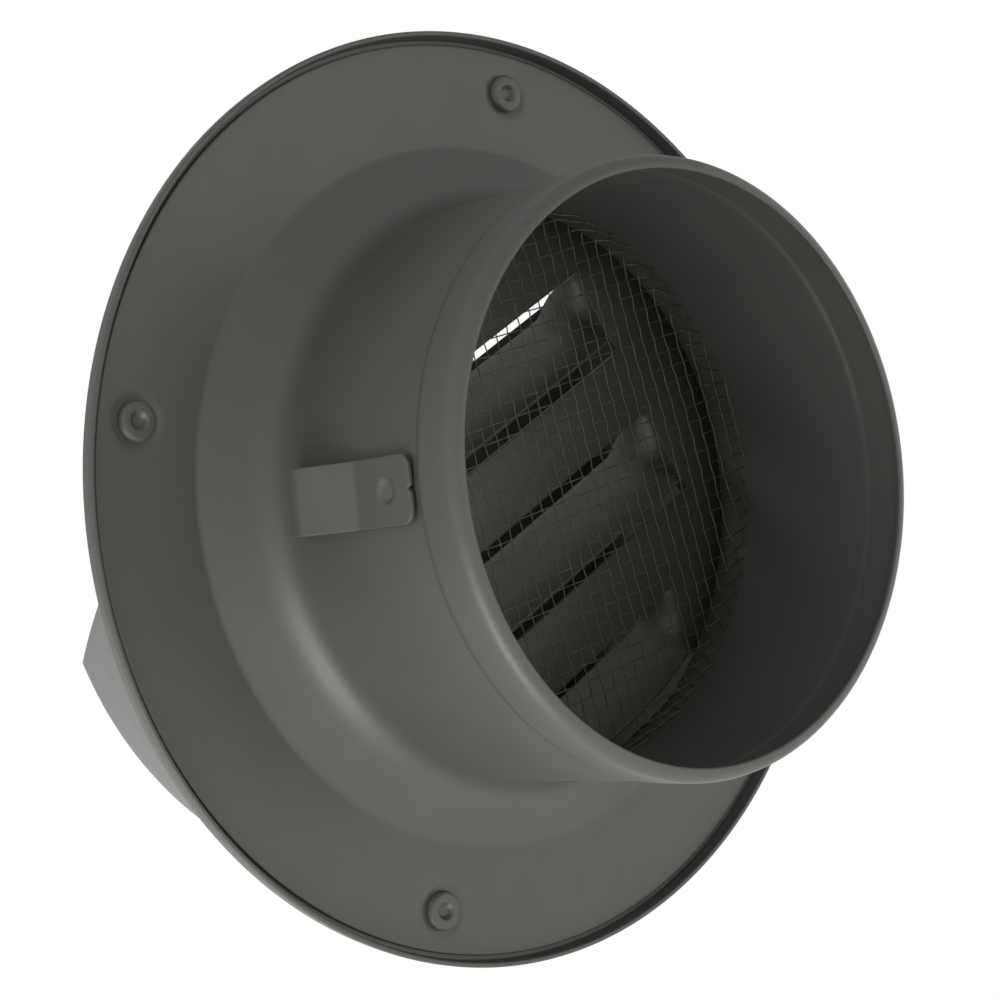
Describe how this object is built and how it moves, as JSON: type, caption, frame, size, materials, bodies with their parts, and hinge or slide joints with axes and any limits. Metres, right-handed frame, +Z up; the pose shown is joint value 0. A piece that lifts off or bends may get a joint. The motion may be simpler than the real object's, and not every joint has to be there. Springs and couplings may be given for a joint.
{
  "type": "hooded louvred vent cap",
  "caption": "Round wall vent cap with a slanted hood, twisted louvres, an insect screen and a spigot with spring clips for a round duct.",
  "frame": {"origin": "centre of the rim in the wall plane, on the duct axis", "axes": "+Y along the duct axis into the wall, -Y out of the wall towards the hood's front, +Z up, +X to the right seen from outside"},
  "size_m": [0.16, 0.092, 0.16],
  "materials": {
    "paint": "satin grey powder coat on pressed steel",
    "screen_wire": "dull galvanised wire"
  },
  "bodies": {
    "root": {"rear_body": "paint", "louvre_plate": "paint", "hood": "paint", "insect_screen": "screen_wire", "rivet_1": "paint", "rivet_2": "paint", "rivet_3": "paint", "rivet_4": "paint", "clip_top": "paint", "clip_right": "paint", "clip_left": "paint"}
  },
  "joints": []
}
